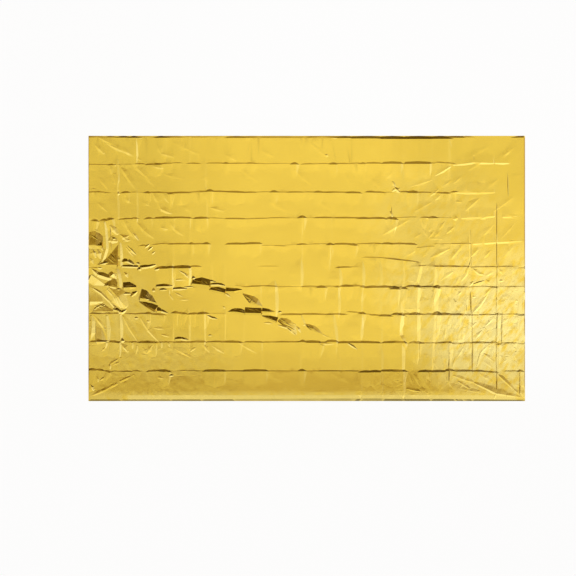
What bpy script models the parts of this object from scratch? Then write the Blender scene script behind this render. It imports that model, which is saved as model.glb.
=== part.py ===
"""Emergency foil blanket: one metallised film sheet, unfolded and lying on a flat surface.

The sheet still holds the creases of its packed state: nine across it and about twenty along it,
with slanting crumples between them. It is modelled as one thin closed shell. Metres, +Z up, with
the origin under the middle of the sheet. +X runs to the right along the long side and +Y to the
back edge.
"""

import math

import bpy
from mathutils import Vector
from mathutils.geometry import delaunay_2d_cdt

# Driving dimensions
SHEET_WIDTH = 2.10
SHEET_DEPTH = 1.40
SHEET_THICKNESS = 0.0012

# A crease is a low ridge: a foot on each side and a crest between them
CROSS_HALF_WIDTH = 0.009
LONG_HALF_WIDTH = 0.007
LONG_FADE = 0.05
WAVE_HEIGHT = 0.0022
EDGE_CURL_WIDTH = 0.010
MERGE_DISTANCE = 0.00002

# Creases from side to side: distance from the back edge, and rise at the left, middle and right
CROSS_CREASES = (
    # from_back, left, middle, right
    (0.145, 0.0030, 0.0024, 0.0016),
    (0.296, 0.0022, 0.0034, 0.0018),
    (0.431, 0.0030, 0.0026, 0.0014),
    (0.569, 0.0034, 0.0024, 0.0016),
    (0.689, 0.0040, 0.0014, 0.0024),
    (0.796, 0.0024, 0.0026, 0.0028),
    (0.939, 0.0038, 0.0026, 0.0026),
    (1.089, 0.0036, 0.0040, 0.0026),
    (1.240, 0.0034, 0.0026, 0.0030),
)

# Creases from front to back: distance right of the middle, its two ends, and rise at each
LONG_CREASES = (
    # x, front_end, back_end, front_rise, back_rise
    (-1.033, -0.66, -0.16, 0.0020, 0.0024),
    (-0.958, -0.39, 0.25, 0.0018, 0.0024),
    (-0.901, -0.56, 0.50, 0.0022, 0.0010),
    (-0.814, -0.64, 0.42, 0.0012, 0.0012),
    (-0.641, -0.52, 0.02, 0.0014, 0.0020),
    (-0.562, -0.52, 0.50, 0.0020, 0.0009),
    (-0.480, -0.40, 0.52, 0.0018, 0.0010),
    (-0.220, -0.36, 0.10, 0.0010, 0.0014),
    (-0.143, -0.38, 0.02, 0.0012, 0.0018),
    (-0.023, -0.40, 0.12, 0.0012, 0.0018),
    (0.117, -0.52, 0.48, 0.0014, 0.0010),
    (0.272, -0.52, 0.22, 0.0018, 0.0012),
    (0.362, -0.54, 0.42, 0.0014, 0.0010),
    (0.465, -0.56, 0.44, 0.0020, 0.0012),
    (0.542, -0.50, 0.10, 0.0018, 0.0016),
    (0.619, -0.54, 0.12, 0.0022, 0.0014),
    (0.690, -0.54, 0.08, 0.0024, 0.0014),
    (0.790, -0.56, 0.26, 0.0026, 0.0018),
    (0.913, -0.68, 0.36, 0.0028, 0.0020),
)

# Crumples: a low four-sided peak with a long axis. The place of its top, the turn of its long
# axis from +X in degrees, the reach each way along that axis, the widths of its back and front
# slopes, and its rise
CRUMPLES = (
    # x, y, turn, reach, back, front, rise
    # the slanting band from the left side to the middle
    (-0.586, -0.040, -31, 0.034, 0.020, 0.014, 0.0070),
    (-0.470, -0.088, -10, 0.100, 0.036, 0.030, 0.0130),
    (-0.380, -0.126, 0, 0.085, 0.034, 0.028, 0.0120),
    (-0.263, -0.168, -40, 0.060, 0.028, 0.026, 0.0080),
    (-0.280, -0.236, -2, 0.115, 0.038, 0.030, 0.0130),
    (-0.172, -0.272, -3, 0.045, 0.026, 0.020, 0.0080),
    (-0.078, -0.318, -38, 0.078, 0.036, 0.034, 0.0110),
    (0.028, -0.336, -24, 0.055, 0.026, 0.022, 0.0080),
    (0.210, -0.424, -42, 0.040, 0.014, 0.014, 0.0040),
    # the group nearer to the left side
    (-0.762, -0.152, -48, 0.062, 0.034, 0.030, 0.0130),
    (-0.752, -0.206, -21, 0.052, 0.028, 0.024, 0.0110),
    (-0.688, -0.226, -25, 0.038, 0.018, 0.016, 0.0070),
    (-0.853, -0.096, -3, 0.040, 0.026, 0.018, 0.0090),
    (-0.862, -0.142, 4, 0.052, 0.024, 0.020, 0.0090),
    (-0.687, -0.096, 0, 0.042, 0.016, 0.014, 0.0060),
    (-0.595, -0.108, -4, 0.050, 0.014, 0.014, 0.0050),
    # the crumpled left edge
    (-1.012, 0.126, 0, 0.036, 0.080, 0.022, 0.0200),
    (-0.916, 0.036, 0, 0.034, 0.100, 0.030, 0.0160),
    (-0.850, 0.006, 1, 0.140, 0.038, 0.024, 0.0120),
    (-0.990, -0.034, -34, 0.052, 0.030, 0.026, 0.0120),
    (-0.928, -0.078, 80, 0.034, 0.024, 0.024, 0.0110),
    (-0.966, -0.166, -48, 0.080, 0.030, 0.036, 0.0140),
    (-0.988, -0.226, 0, 0.044, 0.044, 0.016, 0.0120),
    (-0.888, -0.190, -62, 0.048, 0.026, 0.030, 0.0110),
    (-0.990, -0.322, -63, 0.074, 0.020, 0.036, 0.0080),
    (-0.846, -0.320, -55, 0.072, 0.024, 0.020, 0.0050),
    (-0.764, -0.330, -57, 0.060, 0.020, 0.018, 0.0050),
    (-0.932, -0.621, 28, 0.116, 0.020, 0.020, 0.0060),
    # the back left corner
    (-0.880, 0.616, -28, 0.090, 0.024, 0.024, 0.0040),
    (-0.930, 0.472, -62, 0.066, 0.020, 0.020, 0.0040),
    (-0.785, 0.478, -50, 0.072, 0.020, 0.020, 0.0040),
    (-0.712, 0.330, -48, 0.070, 0.022, 0.022, 0.0050),
    # the back right part
    (0.972, 0.622, 42, 0.070, 0.022, 0.022, 0.0050),
    (0.662, 0.514, 36, 0.046, 0.016, 0.016, 0.0040),
    (0.442, 0.215, 42, 0.066, 0.018, 0.018, 0.0045),
    (0.715, 0.080, 38, 0.078, 0.022, 0.022, 0.0050),
    # the front right part, crossed both ways
    (0.672, -0.052, 48, 0.044, 0.018, 0.018, 0.0060),
    (0.850, -0.046, -38, 0.070, 0.022, 0.022, 0.0070),
    (0.836, -0.166, 48, 0.068, 0.024, 0.024, 0.0070),
    (0.712, -0.196, -62, 0.040, 0.020, 0.020, 0.0060),
    (0.846, -0.320, -58, 0.066, 0.024, 0.024, 0.0070),
    (0.960, -0.312, 52, 0.050, 0.020, 0.020, 0.0060),
    (0.996, -0.472, -66, 0.062, 0.020, 0.020, 0.0060),
    (0.850, -0.462, 58, 0.066, 0.022, 0.022, 0.0060),
    (0.720, -0.455, -50, 0.060, 0.022, 0.022, 0.0050),
    # folds that run into the front right corner
    (0.866, -0.628, -21, 0.170, 0.024, 0.024, 0.0080),
    (0.968, -0.618, -47, 0.084, 0.020, 0.020, 0.0070),
    (0.752, -0.606, -34, 0.084, 0.018, 0.018, 0.0060),
)

# The front strip: the last panel climbs to a bend and the lip beyond it drops to the floor
BEND_FROM_FRONT = 0.036
BEND_RISE = (0.0090, 0.0100, 0.0060)

# The film itself
FILM_COLOUR = (0.80, 0.52, 0.07, 1.0)
FILM_ROUGHNESS = 0.22
FILM_METALLIC = 1.0

HALF_WIDTH = SHEET_WIDTH / 2
HALF_DEPTH = SHEET_DEPTH / 2
LAST_CREASE_Y = HALF_DEPTH - CROSS_CREASES[-1][0]
BEND_Y = BEND_FROM_FRONT - HALF_DEPTH


def clear_scene():
    """Remove every object so that only the blanket is left."""
    for thing in list(bpy.data.objects):
        bpy.data.objects.remove(thing, do_unlink=True)


def blend(a, b, share):
    """Straight mix of a and b."""
    return a + (b - a) * share


def blend_three(left, middle, right, x):
    """Value at x on a smooth run through the left side, the middle and the right side."""
    share = x / HALF_WIDTH
    if share < 0.0:
        return blend(middle, left, -share)
    return blend(middle, right, share)


def cross_crease_height(x, y):
    """Highest of the low ridges that run from side to side."""
    height = 0.0
    for from_back, left, middle, right in CROSS_CREASES:
        near = 1.0 - abs(y - HALF_DEPTH + from_back) / CROSS_HALF_WIDTH
        if near > 0.0:
            height = max(height, near * blend_three(left, middle, right, x))
    return height


def long_crease_height(x, y):
    """Highest of the low ridges that run from front to back, each faded in at its two ends."""
    height = 0.0
    for crease_x, front_end, back_end, front_rise, back_rise in LONG_CREASES:
        near = 1.0 - abs(x - crease_x) / LONG_HALF_WIDTH
        if near <= 0.0 or not front_end < y < back_end:
            continue
        share = (y - front_end) / (back_end - front_end)
        fade = min(1.0, (y - front_end) / LONG_FADE, (back_end - y) / LONG_FADE)
        height = max(height, near * fade * blend(front_rise, back_rise, share))
    return height


def crumple_height(x, y):
    """Highest of the four-sided peaks over the point."""
    height = 0.0
    for top_x, top_y, turn, reach, back, front, rise in CRUMPLES:
        angle = math.radians(turn)
        along = (x - top_x) * math.cos(angle) + (y - top_y) * math.sin(angle)
        across = (y - top_y) * math.cos(angle) - (x - top_x) * math.sin(angle)
        width = back if across > 0.0 else front
        near = 1.0 - abs(along) / reach - abs(across) / width
        height = max(height, near * rise)
    return height


def front_strip_height(x, y):
    """Climb of the last panel to the bend and drop of the lip to the front edge."""
    rise = blend_three(*BEND_RISE, x)
    if y < BEND_Y:
        return rise * (y + HALF_DEPTH) / BEND_FROM_FRONT
    return rise * max(0.0, (LAST_CREASE_Y - y) / (LAST_CREASE_Y - BEND_Y))


def back_curl_height(y):
    """Small curl of the film along its back edge."""
    return 0.002 * max(0.0, 1.0 - (HALF_DEPTH - y) / EDGE_CURL_WIDTH)


def sheet_height(x, y):
    """Height of the sheet's underside over the floor."""
    folds = max(cross_crease_height(x, y), long_crease_height(x, y), crumple_height(x, y))
    return max(folds, back_curl_height(y)) + front_strip_height(x, y)


def wander(x, y):
    """Sideways wander of the creases, which dies out at the sheet's outline."""
    inside_x = 1.0 - (x / HALF_WIDTH) ** 8
    inside_y = 1.0 - (y / HALF_DEPTH) ** 8
    shift_x = WAVE_HEIGHT * math.sin(6.3 * y + 2.1 * math.sin(3.7 * x)) * inside_x
    shift_y = WAVE_HEIGHT * math.sin(4.1 * x + 1.7 * math.sin(5.3 * y)) * inside_y
    return x + shift_x, y + shift_y


def fold_lines():
    """Straight lines in plan that the surface bends along, as pairs of end points."""
    lines = []
    corners = [(-HALF_WIDTH, -HALF_DEPTH), (HALF_WIDTH, -HALF_DEPTH), (HALF_WIDTH, HALF_DEPTH),
               (-HALF_WIDTH, HALF_DEPTH)]
    for index, corner in enumerate(corners):
        lines.append((corner, corners[(index + 1) % 4]))
    rows = [BEND_Y, HALF_DEPTH - EDGE_CURL_WIDTH]
    for crease in CROSS_CREASES:
        crest_y = HALF_DEPTH - crease[0]
        rows += [crest_y - CROSS_HALF_WIDTH, crest_y, crest_y + CROSS_HALF_WIDTH]
    for y in rows:
        lines.append(((-HALF_WIDTH, y), (HALF_WIDTH, y)))
    for crease_x, front_end, back_end, _, _ in LONG_CREASES:
        for x in (crease_x - LONG_HALF_WIDTH, crease_x, crease_x + LONG_HALF_WIDTH):
            lines.append(((x, front_end), (x, back_end)))
    for row in CRUMPLES:
        lines += crumple_lines(*row)
    return lines


def crumple_lines(top_x, top_y, turn, reach, back, front, rise):
    """Four sides and the crest of one crumple, in plan, kept inside the outline."""
    angle = math.radians(turn)
    along = Vector((math.cos(angle), math.sin(angle)))
    across = Vector((-math.sin(angle), math.cos(angle)))
    top = Vector((top_x, top_y))
    ends = [top - along * reach, top - across * front, top + along * reach, top + across * back]
    lines = [(ends[index], ends[(index + 1) % 4]) for index in range(4)]
    lines += [(top, end) for end in ends]
    return [(keep_inside(a), keep_inside(b)) for a, b in lines]


def keep_inside(point):
    """Nearest point that lies inside the outline."""
    return (min(max(point[0], -HALF_WIDTH), HALF_WIDTH), min(max(point[1], -HALF_DEPTH), HALF_DEPTH))


def film_material():
    """Bright gold metallised film."""
    material = bpy.data.materials.new("gold_film")
    material.use_nodes = True
    shader = material.node_tree.nodes["Principled BSDF"]
    shader.inputs["Base Color"].default_value = FILM_COLOUR
    shader.inputs["Roughness"].default_value = FILM_ROUGHNESS
    shader.inputs["Metallic"].default_value = FILM_METALLIC
    material.diffuse_color = FILM_COLOUR
    return material


def build_sheet(collection):
    """The creased sheet: fold lines set into a flat sheet, lifted to height and thickened."""
    points = []
    edges = []
    for start, end in fold_lines():
        points += [Vector(start), Vector(end)]
        edges.append((len(points) - 2, len(points) - 1))
    plan = delaunay_2d_cdt(points, edges, [], 0, MERGE_DISTANCE)
    vertices = []
    for point in plan[0]:
        x, y = wander(point.x, point.y)
        vertices.append((x, y, sheet_height(point.x, point.y)))
    mesh = bpy.data.meshes.new("foil_sheet")
    mesh.from_pydata(vertices, [], plan[2])
    mesh.update()
    mesh.materials.append(film_material())

    sheet = bpy.data.objects.new("foil_sheet", mesh)
    collection.objects.link(sheet)
    shell = sheet.modifiers.new("film thickness", "SOLIDIFY")
    shell.thickness = SHEET_THICKNESS
    shell.offset = 1.0
    return sheet


def main():
    clear_scene()
    collection = bpy.data.collections.new("emergency foil blanket")
    bpy.context.scene.collection.children.link(collection)
    build_sheet(collection)


main()
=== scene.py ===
import math
import random

import bpy
import numpy as np
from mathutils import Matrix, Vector
from mathutils.geometry import delaunay_2d_cdt


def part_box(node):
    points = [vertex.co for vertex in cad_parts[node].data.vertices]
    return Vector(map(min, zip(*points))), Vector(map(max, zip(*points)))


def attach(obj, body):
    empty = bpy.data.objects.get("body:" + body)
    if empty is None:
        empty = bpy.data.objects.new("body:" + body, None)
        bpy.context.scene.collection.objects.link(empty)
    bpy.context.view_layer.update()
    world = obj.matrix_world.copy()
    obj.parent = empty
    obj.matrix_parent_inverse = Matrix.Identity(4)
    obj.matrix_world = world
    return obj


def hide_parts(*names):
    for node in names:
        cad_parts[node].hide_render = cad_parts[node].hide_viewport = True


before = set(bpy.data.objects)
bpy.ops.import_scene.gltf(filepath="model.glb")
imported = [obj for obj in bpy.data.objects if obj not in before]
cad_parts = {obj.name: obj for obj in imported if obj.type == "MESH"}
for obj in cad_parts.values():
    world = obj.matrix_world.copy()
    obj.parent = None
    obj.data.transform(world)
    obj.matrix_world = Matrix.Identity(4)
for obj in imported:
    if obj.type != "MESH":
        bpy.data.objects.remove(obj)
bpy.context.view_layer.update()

# Emergency foil blanket: one gold film sheet, unfolded on the floor, with the creases of its packed
# state. Metres, +X to the right along the long side, +Y to the back edge, +Z up. The fold tables are
# in millimetres from the middle of the sheet.

sheetLow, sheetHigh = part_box("foil_sheet")
halfWidth = (sheetHigh[0] - sheetLow[0]) / 2
halfDepth = (sheetHigh[1] - sheetLow[1]) / 2
mm = 0.001

camera = {
    "elevation": 65.6,  # degrees over the floor, looking to the back edge
    "pictureWidth": 2.771,  # metres of the scene across the picture
    "sheetRight": 0.0902,  # the sheet's middle, right of and above the picture's middle
    "sheetUp": 0.0938,
    "distance": 6.0,
}
# a point is seen this much further back for each unit of its height
leanBack = math.tan(math.radians(90.0 - camera["elevation"]))


def makeCamera():
    tilt = math.radians(camera["elevation"])
    backwards = Vector((0.0, -math.cos(tilt), math.sin(tilt)))
    upwards = Vector((0.0, math.sin(tilt), math.cos(tilt)))
    aim = Vector((-camera["sheetRight"], 0.0, 0.0)) - upwards * camera["sheetUp"]
    data = bpy.data.cameras.new("camera")
    data.type = "ORTHO"
    data.ortho_scale = camera["pictureWidth"]
    viewer = bpy.data.objects.new("camera", data)
    viewer.location = aim + backwards * camera["distance"]
    viewer.rotation_euler = (math.radians(90.0) - tilt, 0.0, 0.0)
    bpy.context.scene.collection.objects.link(viewer)
    bpy.context.scene.camera = viewer
    print("camera made")


class Wire:
    # an output socket that can be used in Python sums
    def __init__(self, tree, socket):
        self.tree = tree
        self.socket = socket

    def maths(self, operation, other, swap=False):
        pair = (other, self) if swap else (self, other)
        return self.tree.add("ShaderNodeMath", {"operation": operation}, {0: pair[0], 1: pair[1]})

    def __add__(self, other):
        return self.maths("ADD", other)

    def __radd__(self, other):
        return self.maths("ADD", other, True)

    def __sub__(self, other):
        return self.maths("SUBTRACT", other)

    def __rsub__(self, other):
        return self.maths("SUBTRACT", other, True)

    def __mul__(self, other):
        return self.maths("MULTIPLY", other)

    def __rmul__(self, other):
        return self.maths("MULTIPLY", other, True)


class Tree:
    # a node tree and the one way in which nodes are added to it
    def __init__(self, nodeTree):
        self.nodeTree = nodeTree
        nodeTree.nodes.clear()

    def add(self, kind, settings=None, values=None, output=0):
        node = self.nodeTree.nodes.new(kind)
        for name, value in (settings or {}).items():
            setattr(node, name, value)
        for name, value in (values or {}).items():
            self.put(node.inputs[name], value)
        return Wire(self, node.outputs[output]) if len(node.outputs) else node

    def put(self, socket, value):
        if isinstance(value, Wire):
            self.nodeTree.links.new(value.socket, socket)
        else:
            socket.default_value = value

    def split(self, vector):
        node = self.nodeTree.nodes.new("ShaderNodeSeparateXYZ")
        self.put(node.inputs[0], vector)
        return [Wire(self, socket) for socket in node.outputs]

    def ramp(self, value, low, high):
        # 0 at low, 1 at high and smooth between them; low may be the larger one
        settings = {"interpolation_type": "SMOOTHSTEP"}
        if low > high:
            return 1.0 - self.ramp(value, high, low)
        values = {"Value": value, "From Min": low, "From Max": high}
        return self.add("ShaderNodeMapRange", settings, values)

    def turnRamp(self, angle, limits):
        # the same with its limits in degrees
        return self.ramp(angle, math.radians(limits[0]), math.radians(limits[1]))

    def most(self, a, b):
        return self.add("ShaderNodeMath", {"operation": "MAXIMUM"}, {0: a, 1: b})

    def noise(self, place, size, detail):
        return self.add("ShaderNodeTexNoise", None, {"Vector": place, "Scale": size, "Detail": detail})

    def mixColour(self, share, a, b):
        values = {"Factor": share, 6: a, 7: b}
        return self.add("ShaderNodeMix", {"data_type": "RGBA"}, values, 2)


studio = {
    # Each brightness of the room is followed by where it fades in: as degrees from straight up towards
    # the back, as a share to the right, or as degrees over the floor.
    "front": 1.15,  # over the sheet and in front of it
    "top": 0.715,
    "topFade": (11.0, 27.5),
    "lowFront": 0.86,  # lower down in front of it
    "lowFrontFade": (-6.0, -24.0),
    "right": 1.28,  # what a slope that faces the right side sees, as a share
    "rightFade": (0.03, 0.30),
    "flag": 0.06,  # the dark panels behind the sheet and far to its sides
    "flagColour": (1.0, 0.55, 0.04, 1.0),
    "flagBackFade": (25.5, 41.0),
    "flagBackEnd": (0.80, 0.40),  # to the right
    "flagLeftFade": (-0.48, -0.66),
    "flagRightFade": (0.60, 0.85),
    "flagLow": (25.0, 33.0),  # degrees over the floor where the panels begin
    "low": 0.27,
    "lowFade": (27.0, 12.0),
    "seenWall": 0.975,  # how bright the camera sees the room
    "white": (1.0, 1.0, 1.0, 1.0),
    "floorGlow": 0.848,
    "floorPaint": (0.18, 0.18, 0.18, 1.0),
    "floorRoughness": 0.9,
    "floorSize": 120.0,
    "floorDrop": 0.0006,  # under the sheet
    "lampHeight": 1.2,
    "lampSpread": 80.0,  # degrees, how wide a lamp shines
    "lampLean": 8.0,  # degrees, how far it's turned to the front
    "lampStep": 0.03,  # each lamp hangs this much over the one before it
}

# Soft lamps overhead, which make the sheet's tone change over its length and depth. Each is placed by
# the part of the sheet that mirrors it.
lamps = (
    # left, right, front, back, brightness
    (-3.00, -0.45, -0.12, 1.60, 0.012),
    (-0.62, 3.00, -0.35, 1.60, 0.028),
    (-0.42, 0.48, -0.60, 1.60, 0.027),
    (-0.20, 3.00, -0.62, -0.30, 0.008),
    (0.62, 3.00, -0.60, 0.34, 0.020),
    (0.65, 3.00, -0.80, 0.10, 0.013),
    (0.50, 3.00, -0.75, 0.00, 0.010),
    (0.80, 3.00, -0.80, 0.90, 0.016),
)


def makeRoom():
    world = bpy.data.worlds.new("soft studio")
    bpy.context.scene.world = world
    world.use_nodes = True
    tree = Tree(world.node_tree)
    x, y, z = tree.split(tree.add("ShaderNodeTexCoord", output=0))
    # angle from straight up towards the back
    backTilt = tree.add("ShaderNodeMath", {"operation": "ARCTAN2"}, {0: y, 1: z})
    elevation = tree.add("ShaderNodeMath", {"operation": "ARCSINE"}, {0: z})
    towardsBack = tree.turnRamp(backTilt, studio["topFade"])
    brightness = studio["front"] + towardsBack * (studio["top"] - studio["front"])
    lowFront = tree.turnRamp(backTilt, studio["lowFrontFade"])
    brightness = brightness + lowFront * (studio["lowFront"] - brightness)
    toRight = tree.ramp(x, *studio["rightFade"])
    brightness = brightness * (1.0 + toRight * (studio["right"] - 1.0))
    inFlag = tree.turnRamp(backTilt, studio["flagBackFade"]) * tree.ramp(x, *studio["flagBackEnd"])
    inFlag = tree.most(inFlag, tree.ramp(x, *studio["flagLeftFade"]))
    inFlag = tree.most(inFlag, tree.ramp(x, *studio["flagRightFade"]))
    inFlag = inFlag * tree.turnRamp(elevation, studio["flagLow"])
    brightness = brightness + inFlag * (studio["flag"] - brightness)
    lowDown = tree.turnRamp(elevation, studio["lowFade"])
    brightness = brightness + lowDown * (studio["low"] - brightness)
    colour = tree.mixColour(inFlag, studio["white"], studio["flagColour"])
    background = tree.add("ShaderNodeBackground", None, {"Color": colour, "Strength": brightness})
    values = {"Color": studio["white"], "Strength": studio["seenWall"]}
    pale = tree.add("ShaderNodeBackground", None, values)
    seen = tree.add("ShaderNodeLightPath", output=0)
    shader = tree.add("ShaderNodeMixShader", None, {0: seen, 1: background, 2: pale})
    tree.add("ShaderNodeOutputWorld", None, {0: shader})


def makeLamps():
    for level, (left, right, front, back, brightness) in enumerate(lamps):
        data = bpy.data.lights.new("soft lamp", "AREA")
        data.shape = "RECTANGLE"
        data.size = right - left
        data.size_y = back - front
        data.spread = math.radians(studio["lampSpread"])
        data.energy = brightness * math.pi * data.size * data.size_y
        lamp = bpy.data.objects.new("soft lamp", data)
        height = studio["lampHeight"] + level * studio["lampStep"]
        lamp.location = ((left + right) / 2, (front + back) / 2 + height * leanBack, height)
        lamp.rotation_euler = (math.radians(-studio["lampLean"]), 0.0, 0.0)
        lamp.visible_camera = False
        bpy.context.scene.collection.objects.link(lamp)


def makeFloor():
    bpy.ops.mesh.primitive_plane_add(size=studio["floorSize"], location=(0.0, 0.0, -studio["floorDrop"]))
    floor = bpy.context.object
    floor.name = "studio_floor"
    paint = bpy.data.materials.new("pale floor")
    paint.use_nodes = True
    tree = Tree(paint.node_tree)
    values = {"Base Color": studio["floorPaint"], "Roughness": studio["floorRoughness"],
              "Specular IOR Level": 0.0,
              "Emission Color": studio["white"], "Emission Strength": studio["floorGlow"]}
    shader = tree.add("ShaderNodeBsdfPrincipled", None, values)
    tree.add("ShaderNodeOutputMaterial", None, {0: shader})
    floor.data.materials.append(paint)


def makeStudio():
    makeRoom()
    makeLamps()
    makeFloor()
    view = bpy.context.scene.view_settings
    view.view_transform = "Standard"
    view.look = "None"
    print("studio made")


foil = {
    "film": 0.0004,  # thickness of the shell
    "panelLift": 0.0014,  # the panels stand this far off the floor between their creases
    "creaseTilt": (3.3, 0.60),  # degrees, of a crease's back slope, and more for each unit of its size
    "creaseWidth": 3.3,  # millimetres of that slope for each unit
    "creaseFront": 6.0,  # the front slope's width beside the back one's
    "creaseTip": 16.0,  # millimetres over which a crease or a side hem comes to a point
    "longTip": 32.0,  # the same for a drooping stretch and for a dark line
    "foldTip": 3.5,  # and the least of it for the other folds
    "tiltShare": 0.6,  # how steep those folds and the back edge are, beside the tilts in their tables
    "endWidth": 0.8,  # of a crease, a line or a hem, beside its middle's
    "steepest": 36.0,  # degrees, of any fold's other slope
    "bluntest": 50.0,  # degrees, of its ends
    "lightTilt": (1.7, 0.36),  # degrees, of a light line's right slope, and more for each unit of its width
    "lightWidth": 1.9,  # millimetres of that slope for each unit
    "lightOther": 4.0,  # the left slope's width beside the right one's
    "lightTip": 42.0,
    "darkTilt": 19.6,  # degrees, of the slope of a dark line that faces left
    "hemInner": 16.0,  # width of the slope behind a drooping edge, beside the edge's own
    "sideTilt": (19.0, 25.0),  # degrees, of the hem along the left and the right side
    "frontProfile": (  # distance from the front edge in millimetres, share of the bend's height
        (310.0, 0.0), (160.0, 0.30), (48.0, 0.95), (37.0, 0.988), (27.0, 1.0),
    ),
    "bendPlaces": (-1.0, -0.4, 0.0, 0.3, 0.65, 1.0),  # from the left side to the right one
    "bendRise": (5.8, 6.5, 8.5, 9.5, 8.0, 4.6),  # height of that bend there, in millimetres
    "edgeParts": 200,  # lengths that each long edge is cut into
    "lipSlope": 0.030,  # how steeply the lip falls from the bend to where it turns down
    "lipHighlight": 0.104,  # painted highlight on the lip, as strong as on a slope that leans to the front by this much
    "lipEnds": (-890.0, -850.0, 1000.0, 1040.0),  # it's level and plain up to the first and from the last
    "lipChange": 4.0,  # millimetres over which the next angle of its turn is reached, to either side
    "lipTurn": 45.5,  # degrees, of that turn where the edge is bright
    "join": 0.00002,  # points closer than this become one
    "grid": 0.009,  # spacing of the points between the folds, twice that where the film is calm
    "loose": 0.4,  # how far they're moved off it, as a share of the spacing
    "livelyGrid": 0.30,  # how crinkled the film is where the points are closer
    "softHeight": 0.0013,  # of a slow unevenness all over the film
    "softSize": 7.0,  # the pattern's scale: more is finer, as with the other sizes below
    "softDetail": 2.0,
    "streakHeight": 0.0019,  # of the long soft waves that run slanting, where the film is liveliest
    "streakSize": 24.0,
    "streakDetail": 2.0,
    "streakStretch": 0.28,
    "facetHeight": 0.00016,  # how far a single point stands out, up or down, where the film is liveliest
    "crispAngle": 3.5,  # degrees, past which a fold is sharp
    "seed": 11,
    "gold": ((0.86, 0.565, 0.032, 1.0), (0.91, 0.625, 0.045, 1.0)),  # slowly changes between these
    "goldSize": 2.5,
    "goldDetail": 3.0,
    # a paler, whiter gold mixed into the film's colour as a painted highlight where bright light would
    # reflect
    "highlightGold": (0.93, 0.76, 0.233, 1.0),
    "highlightStreakSize": 26.0,  # of the streaks of painted highlight
    "highlightStreakDetail": 4.0,
    "highlightStreaks": (0.30, 0.58),  # noise values over which a streak takes the painted highlight
    "highlightFacing": (0.03, 0.13),  # the same for the painted highlight on a slope that leans to the front or to the right
    "steepUnhighlighted": (0.45, 0.25),  # a steep one gets no painted highlight
    "highlightFacingShare": 0.6,  # how strong the painted highlight on those slopes is
    "roughness": (0.13, 0.23),
    "roughSize": 9.0,
    "roughDetail": 4.0,
    "coatRoughness": 0.08,
}

# How crinkled the film is from place to place, and how strongly a painted highlight, a paler gold standing
# in for bright light reflected off the crinkles, is mixed into its colour. Spots that fade out over their
# reach.
zones = (
    # x, y, reachX, reachY, crinkle, painted highlight
    (0, 0, 3000, 3000, 0.12, 0.0),
    (880, -330, 420, 420, 0.85, 1.0),
    (1010, -330, 160, 520, 0.60, 0.9),
    (640, 230, 420, 380, 0.32, 0.2),
    (700, -100, 420, 300, 0.50, 0.5),
    (-960, 60, 240, 380, 0.60, 0.0),
    (-930, -260, 300, 300, 0.55, 0.2),
    (-880, 480, 420, 330, 0.36, 0.0),
    (-450, -190, 300, 200, 0.30, 0.0),
    (-120, -290, 260, 170, 0.26, 0.0),
    (-720, -470, 460, 150, 0.95, 0.15),
    (-560, -310, 300, 130, 0.55, 0.0),
    (-700, -610, 500, 120, 0.75, 0.0),
    (560, -620, 420, 110, 0.80, 0.0),
    (0, -690, 3000, 45, 0.25, 0.30),
)

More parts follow.
